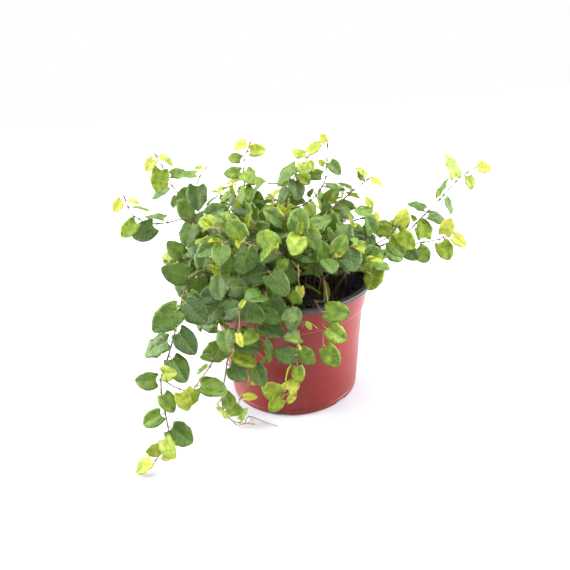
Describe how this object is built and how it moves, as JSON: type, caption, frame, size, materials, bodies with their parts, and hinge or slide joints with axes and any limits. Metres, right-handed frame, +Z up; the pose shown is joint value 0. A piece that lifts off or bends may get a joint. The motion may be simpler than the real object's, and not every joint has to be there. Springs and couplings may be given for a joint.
{
  "type": "potted creeping fig plant",
  "caption": "Small trailing fig in a tapered plastic nursery pot: thin branching stems with alternate heart-shaped leaves, rising in a crown and hanging over the rim.",
  "frame": {"origin": "on the pot's axis, at the flat pad in the middle of its underside, on the surface that it stands on", "axes": "+Z up along the pot's axis; -Y towards the plant's front, where it hangs over the rim; +X towards its long arching shoot"},
  "size_m": [0.2329, 0.1981, 0.1783],
  "materials": {
    "terracotta_plastic": "satin thermoformed plastic, terracotta red outside and black inside and on the lip",
    "compost": "damp dark peat compost",
    "foliage": "matt green leaves, lime green at the tips, on thin reddish-brown stems"
  },
  "bodies": {
    "root": {"apron_front": "foliage", "apron_left": "foliage", "apron_middle": "foliage", "arch_right": "foliage", "bush_01": "foliage", "bush_02": "foliage", "bush_03": "foliage", "bush_04": "foliage", "bush_05": "foliage", "bush_06": "foliage", "bush_07": "foliage", "bush_08": "foliage", "bush_09": "foliage", "bush_10": "foliage", "cluster_right": "foliage", "crown_1": "foliage", "crown_2": "foliage", "crown_3": "foliage", "crown_4": "foliage", "crown_5": "foliage", "pot": "terracotta_plastic", "rim_01": "foliage", "rim_02": "foliage", "rim_03": "foliage", "rim_04": "foliage", "rim_05": "foliage", "rim_06": "foliage", "rim_07": "foliage", "rim_08": "foliage", "rim_09": "foliage", "rim_10": "foliage", "shoot_middle": "foliage", "shoot_right": "foliage", "shoot_top": "foliage", "soil": "compost", "spray_far_left": "foliage", "spray_upper_left": "foliage", "trailer_front": "foliage", "trailer_front_left": "foliage", "trailer_front_right": "foliage", "trailer_left": "foliage", "trailer_middle": "foliage", "trailer_side": "foliage"}
  },
  "joints": []
}
